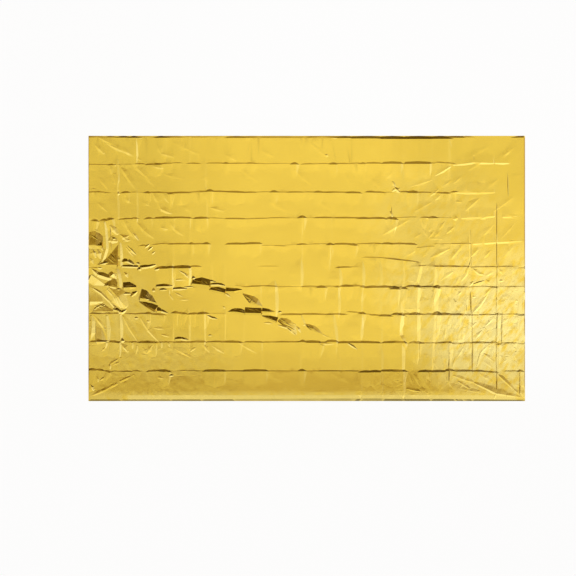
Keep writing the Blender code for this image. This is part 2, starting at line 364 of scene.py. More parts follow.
# Creases that run from side to side, in short uneven lengths.
creases = (
    # x1, y1, x2, y2, size
    # first from the back
    (-1048, 550, -962, 549, 1.6), (-956, 548, -934, 549, 2.6), (-900, 549, -842, 551, 1.2),
    (-822, 553, -786, 553, 2.2), (-765, 551, -700, 553, 3.4), (-702, 553, -655, 557, 2.8),
    (-642, 558, -608, 558, 1.8), (-566, 556, -520, 555, 2.2), (-472, 557, -386, 556, 2.0),
    (-396, 557, -378, 556, 3.2), (-374, 555, -290, 556, 2.2), (-286, 557, -250, 556, 2.8),
    (-250, 555, -204, 554, 1.6), (-200, 553, -76, 554, 1.3), (-68, 555, -50, 555, 4.2),
    (-16, 552, 40, 553, 2.2), (40, 553, 102, 554, 1.8), (114, 554, 142, 554, 3.8),
    (142, 554, 214, 554, 2.2), (216, 555, 262, 555, 2.6), (262, 555, 278, 556, 3.4),
    (290, 557, 352, 557, 3.0), (370, 558, 452, 558, 4.2), (475, 558, 592, 558, 4.6),
    (592, 557, 616, 556, 2.0), (628, 561, 664, 558, 2.4), (664, 558, 702, 556, 2.4),
    # second
    (-1048, 403, -1020, 405, 2.2), (-1022, 405, -978, 404, 2.4), (-976, 400, -950, 400, 1.8),
    (-886, 402, -860, 404, 3.4), (-842, 403, -786, 402, 1.2), (-776, 402, -754, 402, 3.4),
    (-750, 403, -672, 401, 2.6), (-668, 397, -648, 397, 4.0), (-648, 400, -560, 402, 3.2),
    (-560, 403, -478, 408, 3.0), (-476, 412, -456, 412, 4.4), (-456, 408, -380, 406, 2.8),
    (-380, 406, -302, 403, 3.4), (-302, 402, -246, 403, 2.8), (-246, 404, -176, 405, 1.6),
    (-168, 407, -148, 407, 4.0), (-146, 404, -90, 403, 2.2), (-90, 403, -20, 404, 2.6),
    (-20, 404, 36, 404, 2.0), (42, 405, 68, 405, 3.6), (68, 403, 190, 403, 2.8),
    (190, 402, 254, 401, 3.4), (292, 406, 330, 404, 3.4), (330, 404, 372, 402, 2.8),
    (372, 402, 402, 403, 1.4), (456, 406, 492, 405, 2.8), (492, 405, 532, 404, 4.6),
    (532, 403, 592, 402, 2.4), (620, 401, 650, 400, 2.2), (650, 400, 682, 399, 3.2),
    (696, 404, 718, 407, 2.4),
    # third
    (-1030, 256, -1010, 254, 4.4), (-986, 256, -962, 257, 4.2), (-962, 258, -940, 264, 4.6),
    (-896, 261, -846, 264, 2.6), (-842, 265, -820, 266, 3.0), (-772, 265, -750, 267, 3.4),
    (-726, 268, -640, 269, 3.8), (-640, 270, -560, 268, 3.2), (-536, 267, -480, 268, 3.8),
    (-480, 268, -408, 265, 1.6), (-386, 264, -300, 263, 2.6), (-300, 262, -176, 266, 2.0),
    (-176, 268, -86, 268, 2.0), (-86, 268, -46, 266, 1.2), (-32, 273, -12, 273, 4.6),
    (-4, 268, 40, 268, 1.2), (44, 269, 130, 269, 2.8), (130, 268, 246, 268, 3.0),
    (246, 266, 300, 266, 4.0), (300, 266, 374, 266, 3.6), (388, 265, 408, 268, 4.0),
    (404, 267, 430, 264, 5.0), (432, 268, 520, 272, 1.5), (556, 270, 572, 271, 3.0),
    (590, 270, 620, 271, 3.8), (622, 269, 690, 267, 1.0),
    # fourth
    (-796, 122, -780, 123, 2.4), (-736, 127, -700, 130, 1.8), (-702, 132, -664, 131, 2.0),
    (-664, 130, -560, 131, 2.8), (-562, 132, -548, 132, 4.0), (-546, 130, -492, 131, 2.6),
    (-492, 133, -474, 133, 4.0), (-380, 131, -300, 131, 3.6), (-300, 132, -226, 134, 3.8),
    (-222, 122, -160, 121, 1.2), (-150, 121, -100, 118, 1.9), (-100, 123, -40, 127, 1.2),
    (-40, 128, -6, 129, 2.8), (20, 129, 60, 130, 2.0), (60, 130, 98, 130, 1.4),
    (104, 129, 122, 129, 4.2), (136, 130, 210, 130, 3.4), (210, 128, 240, 125, 4.2),
    (244, 130, 294, 131, 2.0), (294, 132, 352, 132, 2.8), (370, 133, 412, 131, 3.6),
    (412, 131, 472, 132, 3.2), (474, 131, 520, 129, 3.4), (500, 110, 556, 112, 1.5),
    (556, 113, 604, 117, 1.6), (620, 130, 694, 130, 1.2), (700, 132, 782, 132, 2.0),
    # the loose one behind the fifth
    (282, 60, 380, 56, 2.0), (380, 55, 452, 46, 2.8), (452, 46, 532, 35, 2.4),
    # fifth
    (-1046, 5, -1012, 5, 2.4), (-716, 4, -672, 6, 4.8), (-672, 7, -636, 7, 4.2),
    (-636, 8, -564, 9, 5.6), (-556, 12, -518, 12, 3.0), (-222, 12, -148, 12, 1.2),
    (148, 6, 204, 8, 2.8), (204, 8, 240, 9, 1.0), (500, 12, 572, 16, 2.2),
    (572, 17, 614, 16, 1.5), (620, 13, 656, 13, 3.6), (656, 12, 734, 11, 3.2),
    (734, 11, 782, 11, 2.6), (798, 8, 902, 10, 2.4), (916, 9, 966, 12, 2.2),
    (966, 11, 1046, 8, 1.6),
    # sixth
    (-572, -96, -546, -98, 2.2), (-334, -90, -302, -95, 1.6), (-302, -96, -222, -92, 2.4),
    (-222, -91, -150, -94, 2.0), (-150, -96, -30, -97, 1.3), (-20, -95, 52, -95, 2.8),
    (52, -97, 86, -96, 4.4), (86, -94, 144, -93, 1.7), (142, -95, 158, -96, 3.6),
    (166, -92, 212, -91, 4.2), (212, -90, 256, -91, 3.6), (260, -94, 286, -99, 4.2),
    (288, -98, 340, -96, 4.4), (340, -96, 404, -96, 4.0), (364, -106, 388, -104, 3.4),
    (404, -102, 442, -103, 6.0), (440, -99, 460, -99, 1.8), (462, -102, 482, -104, 4.6),
    (484, -93, 526, -92, 3.0), (526, -94, 546, -95, 4.4), (546, -96, 616, -96, 3.0),
    (620, -94, 640, -99, 6.0), (644, -95, 692, -95, 3.0), (698, -97, 758, -96, 3.2),
    (758, -97, 786, -98, 2.0), (800, -95, 890, -95, 2.2), (890, -98, 916, -99, 3.0),
    (920, -95, 1046, -96, 1.8),
    # seventh
    (-1032, -235, -948, -236, 3.8), (-948, -237, -902, -236, 2.6), (-866, -238, -830, -241, 2.2),
    (-830, -240, -772, -236, 2.6), (-772, -235, -752, -236, 4.2), (-750, -240, -688, -243, 3.4),
    (-640, -231, -620, -232, 4.4), (-622, -235, -584, -237, 3.6), (-564, -239, -522, -238, 3.6),
    (-522, -237, -480, -235, 4.2), (-470, -236, -400, -240, 1.2), (-116, -242, -26, -242, 3.4),
    (-20, -240, 88, -242, 3.2), (88, -242, 130, -242, 2.6), (128, -240, 178, -242, 3.2),
    (180, -243, 202, -243, 1.4), (204, -228, 262, -234, 2.4), (260, -235, 276, -236, 4.4),
    (284, -240, 310, -243, 1.6), (308, -245, 352, -247, 2.8), (350, -248, 402, -249, 3.8),
    (418, -240, 446, -240, 4.0), (446, -240, 470, -244, 5.0), (470, -241, 502, -240, 3.4),
    (502, -239, 546, -239, 4.8), (546, -240, 612, -241, 3.8), (614, -237, 640, -238, 7.0),
    (640, -240, 690, -241, 4.6), (690, -242, 762, -243, 3.8), (762, -245, 830, -246, 2.0),
    (830, -244, 910, -244, 2.2), (910, -241, 934, -241, 3.8), (934, -242, 1020, -241, 2.8),
    (1020, -244, 1048, -247, 3.8),
    # eighth
    (-1034, -385, -950, -385, 4.0), (-950, -384, -902, -389, 4.2), (-902, -387, -850, -388, 2.6),
    (-850, -388, -800, -388, 2.8), (-800, -388, -726, -389, 4.6), (-726, -388, -640, -388, 2.6),
    (-640, -389, -560, -388, 3.2), (-560, -387, -492, -386, 3.8), (-476, -387, -400, -386, 3.2),
    (-400, -386, -318, -388, 4.0), (-292, -387, -216, -388, 3.0), (-206, -388, -30, -387, 2.8),
    (-28, -383, -12, -383, 4.6), (-14, -387, 62, -387, 4.6), (56, -396, 78, -400, 4.4),
    (62, -389, 104, -390, 2.2), (100, -383, 142, -384, 4.6), (152, -390, 204, -389, 4.2),
    (204, -388, 346, -390, 4.2), (372, -389, 472, -389, 4.2), (502, -390, 532, -390, 4.0),
    (528, -391, 546, -391, 4.6), (546, -393, 622, -393, 2.8), (622, -393, 692, -389, 3.4),
    (692, -395, 762, -398, 3.0), (756, -392, 890, -391, 3.4), (888, -390, 906, -389, 4.6),
    (910, -401, 940, -400, 3.0), (940, -394, 1046, -393, 2.4),
    # ninth
    (-1046, -534, -1016, -534, 4.2), (-1016, -535, -982, -537, 3.8), (-964, -541, -946, -549, 3.4),
    (-942, -546, -832, -546, 1.4), (-832, -541, -808, -542, 2.2), (-762, -542, -706, -539, 3.4),
    (-706, -539, -660, -543, 4.6), (-650, -541, -492, -542, 1.4), (-488, -540, -396, -540, 4.4),
    (-384, -542, -302, -542, 2.4), (-302, -540, -196, -539, 4.2), (-196, -542, -40, -543, 1.3),
    (-32, -538, -14, -538, 4.4), (-10, -543, 62, -543, 1.2), (62, -542, 162, -542, 2.2),
    (162, -542, 244, -543, 1.8), (262, -546, 312, -546, 4.2), (310, -544, 354, -545, 4.6),
    (362, -540, 472, -541, 4.2), (546, -543, 600, -543, 4.6), (600, -544, 664, -543, 4.6),
    (670, -538, 700, -537, 4.6), (698, -541, 802, -541, 3.8), (802, -542, 852, -542, 3.8),
    (852, -545, 912, -548, 3.4), (958, -542, 1020, -543, 2.2), (1018, -542, 1036, -542, 4.0),
)

# Stretches of the back edge that droop and show dark, mildly or steeply.
backEdge = (
    # x1, x2, width, tilt
    (-1048, -960, 9, 6), (-958, -930, 9, 10), (-900, -864, 10, 12), (-842, -820, 11, 16),
    (-820, -726, 8, 5), (-716, -682, 11, 15), (-682, -604, 10, 7), (-596, -552, 8, 5), (-550, -490, 9, 7),
    (-490, -382, 8, 6), (-380, -300, 12, 10), (-300, -232, 12, 8), (-232, -22, 12, 6), (-20, 0, 8, 4),
    (0, 150, 12, 7), (150, 212, 13, 12), (216, 352, 15, 13), (358, 462, 18, 15), (474, 602, 18, 15),
    (600, 682, 17, 14), (682, 752, 11, 11), (756, 780, 8, 8),
)

# Stretches of the front edge that turn down more steeply and show dark.
frontEdge = (
    # x1, x2, degrees
    (-1048, -972, 52), (-972, -900, 51), (-890, -655, 49), (-650, -502, 50), (-500, -352, 49.5),
    (-340, 60, 46.6), (60, 220, 47.2),
    (236, 262, 52), (262, 368, 48), (368, 462, 52), (470, 600, 53), (600, 706, 52), (720, 746, 53),
    (744, 802, 54), (802, 1040, 52),
)

# Hems along the left side, -1, and the right side, 1.
sideEdges = (
    # side, y1, y2, width
    (-1, -640, -410, 3), (-1, -400, -100, 2.6), (-1, 10, 100, 2.6), (-1, 262, 420, 3), (-1, 430, 690, 2.6),
    (1, -620, -400, 4.2), (1, -390, -250, 5.2), (1, -240, 0, 4.6), (1, 10, 280, 4.8), (1, 290, 690, 5.2),
)

# Lines that run from the back to the front, raised with one slope to the right that takes the light.
lightLines = (
    # x1, y1, x2, y2, width
    (-816, 650, -814, 556, 5), (-562, 690, -562, 560, 3), (-907, 398, -903, 272, 6),
    (-814, 398, -813, 270, 5),
    (-484, 548, -486, 410, 4), (-480, 400, -478, 270, 4), (-905, 548, -907, 408, 6),
    (-560, 260, -562, 135, 3),
    (-640, -2, -640, -88, 9), (-641, 120, -640, 12, 3), (-562, -4, -558, -26, 7), (-558, -26, -560, -66, 8),
    (-563, -246, -561, -384, 6), (-488, -246, -488, -384, 6), (-640, -246, -642, -384, 4),
    (-455, 8, -452, -60, 3),
    (-393, -10, -390, -80, 3), (-390, -246, -392, -384, 4), (-300, -246, -302, -384, 3),
    (-220, -104, -218, -196, 4),
    (-22, 18, -22, -86, 8), (-144, -102, -141, -226, 9), (-24, 260, -22, 140, 4), (-22, 120, -22, 20, 4),
    (-30, -395, -28, -530, 4), (-215, -395, -214, -530, 3), (112, 110, 112, 20, 6), (120, 250, 121, 140, 3),
    (165, -26, 166, -86, 8), (158, -104, 159, -226, 7), (133, -258, 149, -382, 8), (160, -400, 160, -530, 3),
    (276, 0, 275, -86, 8), (268, -106, 267, -222, 6), (268, -262, 267, -356, 9), (268, -400, 268, -532, 4),
    (360, 0, 360, -88, 7), (344, -22, 340, -84, 6), (360, -106, 358, -224, 6), (364, -262, 362, -382, 5),
    (364, -398, 365, -530, 6), (468, 4, 468, -90, 7), (464, -104, 462, -234, 10), (461, -252, 457, -352, 11),
    (457, -352, 476, -384, 10), (466, -398, 467, -530, 9), (553, 4, 536, -74, 8), (543, -104, 542, -216, 11),
    (541, -258, 540, -384, 10), (537, -398, 538, -470, 8), (623, 4, 620, -88, 7), (622, -106, 626, -230, 12),
    (614, -250, 616, -384, 9), (612, -398, 608, -520, 6), (265, -552, 265, -650, 5),
    (366, -548, 366, -690, 5),
    (470, -548, 472, -650, 7), (700, -398, 698, -470, 8), (760, -300, 756, -380, 7),
    (745, -250, 738, -380, 8),
    (774, -112, 770, -226, 7), (790, -250, 788, -380, 6), (640, 260, 640, 140, 3), (715, 396, 716, 280, 3),
    (788, 180, 786, 60, 6), (855, 180, 857, 20, 4), (1012, -106, 1008, -236, 10), (1030, -6, 1032, -236, 8),
    (1018, -258, 1016, -384, 9), (995, -4, 994, -90, 7), (1000, -400, 1010, -520, 8),
    (930, -400, 928, -536, 6),
    (926, -4, 926, -90, 6), (924, -106, 925, -236, 7), (924, -250, 924, -384, 7),
)

# The same with a steep slope to the left, which shows dark.
darkLines = (
    # x1, y1, x2, y2, width
    (913, 20, 913, 320, 3.0), (914, -92, 914, 6, 4.4), (911, -232, 912, -100, 5.0),
    (909, -386, 914, -250, 6.4),
    (911, -540, 911, -396, 5.0), (912, -650, 913, -552, 4.0), (968, 400, 966, 480, 3.0),
    (683, -512, 684, -398, 5.4),
    (795, -534, 796, -398, 3.6), (795, -380, 795, -250, 2.4), (936, -384, 938, -252, 3.4),
    (778, 6, 784, 30, 3.0),
    (1024, -660, 1022, -544, 6.0), (684, -600, 684, -550, 4.0), (790, -226, 786, -150, 4.0),
    (767, -222, 764, -120, 3.6),
    (1046, -20, 1046, 16, 5.0), (1046, -144, 1046, -114, 6.0), (1046, -384, 1046, -356, 5.0),
    (540, -470, 540, -400, 2.6),
    (-942, 122, -946, 204, 3.0),
    (405, 270, 406, 300, 3.4), (790, 20, 788, 180, 2.4),
)

# Folds: a crest from one place to another and the slope on its left hand, which is the back one of a fold
# that runs to the right. Its width at the start, middle and end; the right hand slope's width as a share
# of that; and the left hand slope's tilt in degrees. A steep one that faces the back shows dark.
folds = {
    # x1, y1, x2, y2, start, middle, end, other, tilt
    "slanting band": (  # cut up by the creases that it crosses
        (-612, -15, -587, -30, 2, 6, 9, 0.6, 17), (-587, -30, -568, -52, 9, 10, 9, 0.5, 19),
        (-628, -62, -570, -60, 6, 9, 7, 0.6, 8), (-552, -80, -468, -91, 24, 38, 32, 0.28, 18),
        (-556, -80, -469, -92, 3, 22, 18, 0.28, 26), (-552, -54, -537, -50, 4, 14, 5, 0.5, 19),
        (-480, -66, -438, -71, 8, 8, 2, 0.6, 20), (-462, -86, -428, -85, 6, 10, 9, 0.6, 20),
        (-428, -85, -394, -92, 9, 10, 4, 0.6, 20), (-466, -112, -394, -129, 12, 23, 20, 0.3, 24),
        (-392, -132, -368, -151, 3, 7, 2, 0.8, 12), (-388, -121, -350, -121, 20, 19, 17, 0.3, 24),
        (-350, -121, -312, -113, 17, 12, 3, 0.4, 23), (-307, -136, -270, -178, 5, 24, 36, 0.2, 9),
        (-270, -178, -216, -200, 36, 28, 4, 0.2, 11), (-378, -229, -340, -229, 2, 15, 19, 0.3, 20),
        (-340, -229, -299, -237, 19, 21, 15, 0.3, 23), (-297, -235, -219, -237, 30, 28, 28, 0.28, 19),
        (-290, -236, -222, -238, 6, 16, 14, 0.28, 26), (-214, -227, -148, -231, 19, 14, 1, 0.35, 22),
        (-138, -232, -122, -231, 3, 8, 3, 0.6, 20), (-214, -252, -147, -279, 4, 17, 22, 0.3, 20),
        (-205, -288, -165, -292, 3, 9, 3, 0.6, 6), (-137, -278, -96, -308, 22, 36, 38, 0.12, 9),
        (-96, -308, -52, -348, 38, 32, 8, 0.12, 8),
        (-136, -301, -90, -317, 4, 9, 6, 0.6, 10), (-90, -317, -56, -353, 6, 8, 2, 0.6, 10),
        (-110, -280, -52, -298, 3, 9, 3, 0.6, 8), (-50, -306, -30, -338, 3, 9, 3, 0.6, 11),
        (-26, -250, -12, -300, 3, 8, 10, 1.0, 9), (-14, -292, 24, -324, 3, 16, 26, 0.15, 9),
        (24, -324, 74, -346, 26, 18, 3, 0.15, 9), (78, -350, 128, -378, 3, 7, 4, 0.8, 9),
        (200, -398, 242, -428, 5, 8, 2, 0.8, 15), (60, -398, 150, -402, 8, 10, 6, 0.6, 5),
        (-478, -250, -458, -262, 3, 8, 9, 0.6, 17), (-458, -262, -432, -267, 9, 8, 3, 0.6, 17),
        (-634, -374, -604, -372, 8, 12, 11, 0.5, 20), (-604, -372, -566, -380, 11, 9, 3, 0.6, 20),
        (-473, -355, -457, -355, 3, 7, 3, 0.6, 12), (-404, -200, -394, -213, 2, 6, 2, 0.7, 10),
        (-632, -130, -600, -148, 3, 6, 3, 0.8, 8), (-662, -108, -662, -140, 3, 5, 4, 0.8, 10),
        (-660, -140, -644, -166, 4, 5, 2, 0.8, 10), (-610, -166, -570, -166, 3, 8, 3, 0.7, 6),
    ),
    "left group": (
        (-802, -157, -750, -167, 50, 45, 20, 0.25, 17), (-780, -162, -726, -184, 36, 30, 4, 0.25, 17),
        (-782, -166, -729, -181, 8, 16, 5, 0.3, 27),
        (-804, -177, -730, -220, 6, 22, 28, 0.28, 21), (-722, -224, -700, -226, 24, 20, 13, 0.3, 22),
        (-700, -226, -668, -238, 12, 9, 2, 0.6, 20), (-882, -102, -820, -100, 28, 29, 10, 0.3, 20),
        (-878, -22, -862, -46, 4, 13, 4, 0.6, 9), (-896, -136, -848, -134, 4, 10, 6, 0.6, 15),
        (-844, -148, -816, -124, 7, 15, 7, 0.5, 21), (-918, -113, -897, -112, 4, 10, 4, 0.6, 16),
        (-912, -134, -898, -133, 3, 8, 3, 0.6, 10), (-724, -96, -648, -94, 10, 14, 9, 0.5, 20),
        (-707, -114, -674, -113, 6, 10, 4, 0.6, 24), (-642, -110, -578, -108, 8, 11, 4, 0.6, 18),
        (-741, -118, -732, -118, 12, 15, 12, 0.4, 9), (-590, -100, -548, -98, 3, 5, 3, 0.8, 14),
    ),
    "left edge, back": (  # crumpled
        (-1049, 122, -984, 118, 70, 80, 52, 0.2, 9), (-1030, 120, -986, 120, 5, 22, 34, 0.35, 24),
        (-1046, 166, -1000, 172, 3, 9, 3, 0.7, 6), (-1020, 204, -1000, 190, 3, 9, 3, 0.7, 7),
        (-974, 244, -968, 170, 6, 11, 13, 1.0, 13), (-968, 170, -965, 104, 13, 13, 13, 1.0, 13),
        (-965, 104, -984, 38, 13, 13, 10, 1.0, 13), (-984, 38, -1002, 22, 9, 7, 3, 0.8, 12),
        (-1000, 128, -980, 96, 4, 8, 6, 0.8, 12), (-980, 96, -976, 52, 6, 7, 3, 0.8, 11),
        (-1032, 104, -1016, 58, 4, 13, 5, 0.9, 12), (-1008, 100, -994, 54, 4, 14, 5, 0.9, 12),
        (-1044, 56, -1026, 24, 4, 12, 4, 0.9, 12), (-1046, 88, -1030, 66, 4, 10, 4, 0.9, 12),
        (-1006, 20, -914, 19, 3, 40, 106, 0.12, 8.5), (-1000, 19, -948, 32, 4, 14, 9, 0.5, 25),
        (-948, 26, -914, 20, 8, 14, 10, 0.5, 15), (-936, 74, -902, 44, 3, 13, 12, 0.5, 17),
        (-938, 155, -920, 156, 6, 13, 6, 0.5, 15), (-952, 146, -912, 142, 16, 34, 16, 0.4, 5),
        (-946, 226, -912, 180, 6, 20, 10, 0.6, 7), (-896, 176, -866, 150, 6, 20, 10, 0.6, 7),
        (-986, 1, -1004, 2, 4, 9, 4, 0.6, 12),
        (-900, 134, -897, 74, 8, 12, 13, 0.9, 14), (-897, 74, -896, 12, 13, 13, 13, 0.9, 14),
        (-888, 33, -862, 37, 9, 18, 14, 0.4, 18), (-862, 37, -832, 20, 14, 13, 7, 0.5, 18),
        (-890, 10, -812, 7, 7, 11, 9, 0.6, 20), (-818, 28, -805, 20, 5, 10, 5, 0.6, 18),
        (-814, -7, -797, -4, 6, 13, 9, 0.6, 23), (-800, 3, -756, 9, 12, 13, 10, 0.6, 21),
        (-756, 9, -726, 18, 10, 9, 4, 0.7, 20), (-730, -7, -712, -4, 5, 10, 5, 0.7, 18),
        (-778, 108, -757, 126, 3, 8, 3, 0.7, 17), (-763, 94, -742, 113, 3, 8, 3, 0.7, 17),
        (-745, 74, -732, 87, 3, 7, 3, 0.7, 11), (-842, 192, -810, 150, 4, 9, 4, 0.6, 12),
        (-868, 110, -836, 66, 3, 8, 3, 0.8, 11), (-822, 74, -864, 120, 4, 14, 4, 0.4, 12),
        (-880, 160, -856, 172, 4, 12, 4, 0.6, 7), (-880, 146, -850, 148, 3, 9, 3, 0.6, 8),
    ),
    "left edge, front": (
        (-1034, -4, -1006, -32, 3, 12, 15, 0.8, 13), (-1006, -32, -962, -48, 15, 20, 18, 0.7, 15),
        (-962, -48, -938, -54, 18, 18, 12, 0.7, 15), (-952, -50, -927, -26, 14, 19, 17, 0.7, 15),
        (-927, -26, -914, -54, 14, 13, 8, 0.7, 15), (-914, -54, -911, -88, 5, 7, 3, 0.5, 18),
        (-972, -92, -916, -100, 14, 42, 44, 0.2, 9), (-967, -92, -950, -90, 6, 13, 6, 0.5, 20),
        (-950, -98, -916, -102, 5, 12, 8, 0.5, 16), (-914, -4, -906, -52, 11, 15, 15, 0.9, 14),
        (-906, -52, -901, -100, 15, 15, 14, 0.9, 14), (-968, -88, -1036, -34, 6, 36, 44, 0.12, 10),
        (-1042, -60, -1024, -90, 3, 8, 3, 0.6, 8), (-1036, -100, -990, -132, 3, 8, 8, 0.7, 13),
        (-990, -132, -948, -176, 8, 8, 8, 0.7, 13), (-948, -176, -922, -208, 8, 9, 10, 0.7, 13),
        (-930, -217, -902, -226, 13, 15, 10, 0.5, 21), (-908, -222, -893, -239, 9, 13, 9, 0.6, 22),
        (-893, -239, -868, -220, 9, 11, 4, 0.6, 20), (-1030, -229, -934, -227, 14, 42, 10, 0.15, 7.5),
        (-1042, -176, -984, -176, 62, 44, 22, 0.3, 5),
        (-1032, -226, -1002, -202, 4, 9, 9, 0.5, 15), (-1002, -202, -972, -194, 9, 9, 5, 0.5, 13),
        (-869, -204, -950, -102, 16, 50, 30, 1.0, 8), (-896, -150, -868, -170, 3, 8, 3, 0.6, 12),
        (-958, -102, -942, -124, 4, 10, 4, 0.6, 12), (-1038, -250, -1034, -310, 12, 20, 22, 0.5, 13),
        (-1034, -310, -1038, -372, 22, 20, 8, 0.5, 13), (-964, -252, -958, -384, 10, 18, 12, 0.8, 11),
        (-1022, -252, -976, -312, 4, 10, 10, 0.8, 9), (-976, -312, -957, -380, 10, 11, 8, 0.8, 11),
        (-1012, -389, -960, -389, 120, 76, 10, 0.1, 4.4), (-899, -246, -896, -380, 10, 15, 12, 0.9, 12),
        (-885, -252, -852, -318, 10, 24, 24, 0.3, 4.4), (-852, -318, -815, -384, 24, 20, 6, 0.3, 4.4),
        (-884, -254, -850, -290, 4, 9, 4, 0.8, 9), (-800, -264, -762, -328, 8, 24, 26, 0.3, 4.4),
        (-762, -328, -715, -386, 26, 20, 6, 0.3, 4.4), (-828, -264, -812, -264, 4, 9, 4, 0.6, 13),
        (-772, -282, -756, -282, 4, 9, 4, 0.6, 8), (-896, -386, -878, -384, 9, 19, 6, 0.5, 18),
        (-735, -316, -690, -320, 4, 12, 4, 0.6, 5), (-700, -350, -660, -362, 4, 10, 4, 0.6, 6),
    ),
    "front left corner": (  # with the row behind it
        (-966, -394, -968, -418, 9, 9, 5, 1.0, 10), (-968, -418, -988, -438, 5, 9, 3, 0.4, 6),
        (-900, -396, -900, -464, 9, 9, 4, 1.0, 11), (-893, -400, -862, -442, 6, 22, 8, 0.3, 4.5),
        (-842, -394, -838, -422, 7, 8, 4, 0.5, 9), (-772, -452, -744, -410, 4, 16, 4, 0.8, 4.5),
        (-788, -420, -772, -452, 4, 14, 4, 0.8, 4.5), (-702, -394, -699, -418, 7, 8, 4, 0.5, 9),
        (-668, -394, -660, -412, 6, 8, 4, 0.5, 8), (-816, -410, -822, -450, 4, 8, 4, 0.5, 7),
        (-946, -532, -946, -506, 4, 9, 5, 0.5, 11), (-908, -480, -946, -506, 4, 10, 8, 0.4, 6),
        (-932, -512, -904, -497, 4, 9, 3, 0.6, 5), (-1034, -675, -984, -651, 4, 10, 11, 0.8, 5.5),
        (-984, -651, -912, -611, 11, 11, 9, 0.8, 5.5), (-898, -600, -830, -563, 9, 10, 3, 0.8, 5),
        (-1040, -615, -1026, -647, 5, 11, 5, 0.6, 15), (-974, -576, -992, -592, 5, 12, 5, 0.5, 6),
        (-1010, -575, -1004, -600, 4, 8, 4, 0.6, 8), (-660, -569, -642, -568, 4, 10, 4, 0.6, 13),
        (-716, -578, -690, -584, 4, 10, 4, 0.6, 5), (-560, -440, -535, -420, 4, 9, 4, 0.6, 6),
        (-500, -402, -470, -442, 4, 16, 5, 0.5, 5), (-455, -410, -400, -448, 4, 16, 5, 0.5, 5),
        (-330, -392, -240, -450, 4, 24, 5, 0.3, 2.5), (-640, -420, -560, -470, 5, 30, 8, 0.3, 2),
    ),
    "back left": (  # soft folds that fan out from the corner
        (-1022, 656, -976, 606, 5, 22, 8, 0.25, 3.4), (-962, 658, -862, 606, 5, 24, 6, 0.25, 3.0),
        (-925, 654, -800, 570, 5, 26, 6, 0.25, 3.0), (-1000, 690, -905, 640, 5, 24, 6, 0.25, 2.4),
        (-722, 656, -700, 606, 4, 22, 12, 0.3, 2.6), (-700, 606, -640, 588, 12, 20, 5, 0.3, 2.6),
        (-640, 664, -520, 600, 4, 26, 6, 0.25, 1.8), (-952, 546, -934, 498, 8, 22, 22, 0.3, 3.8),
        (-934, 498, -908, 412, 22, 22, 8, 0.3, 3.8), (-905, 500, -910, 430, 4, 8, 4, 0.6, 9),
        (-928, 543, -912, 546, 4, 10, 4, 0.5, 9), (-912, 396, -902, 393, 5, 12, 5, 0.5, 10),
        (-892, 530, -866, 488, 6, 22, 22, 0.28, 3.2), (-866, 488, -822, 416, 22, 22, 6, 0.28, 3.2),
        (-824, 540, -778, 490, 5, 22, 20, 0.28, 2.8), (-778, 490, -740, 440, 20, 20, 5, 0.28, 2.6),
        (-744, 540, -690, 527, 4, 18, 4, 0.3, 2.8), (-690, 500, -600, 470, 4, 22, 4, 0.28, 2.0),
        (-740, 398, -716, 350, 6, 22, 22, 0.28, 3.6), (-716, 350, -700, 312, 22, 20, 18, 0.28, 3.6),
        (-700, 312, -652, 289, 18, 20, 6, 0.35, 4.2), (-696, 396, -666, 348, 5, 20, 5, 0.28, 3.2),
        (-790, 350, -756, 330, 4, 16, 4, 0.3, 2.8), (-658, 242, -636, 208, 5, 18, 18, 0.28, 3.6),
        (-636, 208, -596, 174, 18, 18, 5, 0.28, 3.4), (-882, 258, -858, 206, 6, 20, 20, 0.3, 3.8),
        (-858, 206, -828, 160, 20, 18, 6, 0.3, 3.8), (-816, 240, -784, 200, 5, 20, 20, 0.28, 3.2),
        (-784, 200, -738, 160, 20, 20, 5, 0.28, 3.2), (-505, 494, -480, 460, 5, 18, 5, 0.3, 3.2),
        (-498, 398, -482, 358, 5, 14, 5, 0.35, 3.4), (-462, 320, -400, 302, 4, 18, 4, 0.3, 3.2),
        (-392, 600, -340, 570, 4, 22, 5, 0.3, 2.0), (-880, 370, -840, 342, 4, 20, 5, 0.3, 2.4),
        (-1000, 480, -960, 420, 4, 24, 6, 0.3, 2.0), (-1010, 350, -960, 300, 4, 22, 6, 0.3, 2.6),
        (-600, 330, -560, 300, 4, 18, 4, 0.3, 2.4), (-700, 215, -670, 205, 4, 14, 4, 0.5, 4.0),
    ),
    "back middle": (
        (20, 660, 95, 588, 4, 16, 5, 0.7, 2.4), (-215, 620, -160, 590, 4, 18, 4, 0.4, 1.8),
        (90, 600, 102, 594, 3, 8, 3, 0.5, 7), (185, 500, 205, 450, 4, 14, 4, 0.5, 2.2),
        (-60, 520, 20, 440, 4, 26, 5, 0.3, 1.2), (-320, 520, -240, 460, 4, 26, 5, 0.3, 1.2),
        (-180, 350, -100, 300, 4, 26, 5, 0.3, 1.2), (60, 350, 130, 300, 4, 24, 5, 0.3, 1.2),
    ),
    "back right": (  # drawn to the corner
        (922, 574, 970, 614, 6, 20, 22, 0.25, 3.2), (970, 614, 1024, 668, 22, 20, 6, 0.25, 3.2),
        (740, 560, 870, 640, 5, 26, 6, 0.25, 2.0), (620, 490, 692, 537, 6, 22, 8, 0.28, 4.2),
        (500, 430, 600, 466, 5, 24, 5, 0.25, 2.6), (650, 430, 692, 462, 5, 18, 5, 0.3, 3.2),
        (708, 450, 742, 482, 5, 18, 5, 0.3, 3.2), (596, 384, 632, 414, 5, 16, 5, 0.35, 4.6),
        (618, 360, 640, 384, 4, 14, 4, 0.35, 4.4), (368, 178, 420, 212, 5, 20, 20, 0.28, 3.2),
        (420, 212, 492, 256, 20, 20, 5, 0.28, 3.2), (700, 395, 722, 404, 4, 12, 4, 0.4, 4.6),
        (780, 520, 860, 570, 5, 26, 6, 0.25, 1.8), (840, 400, 920, 470, 5, 26, 6, 0.25, 2.0),
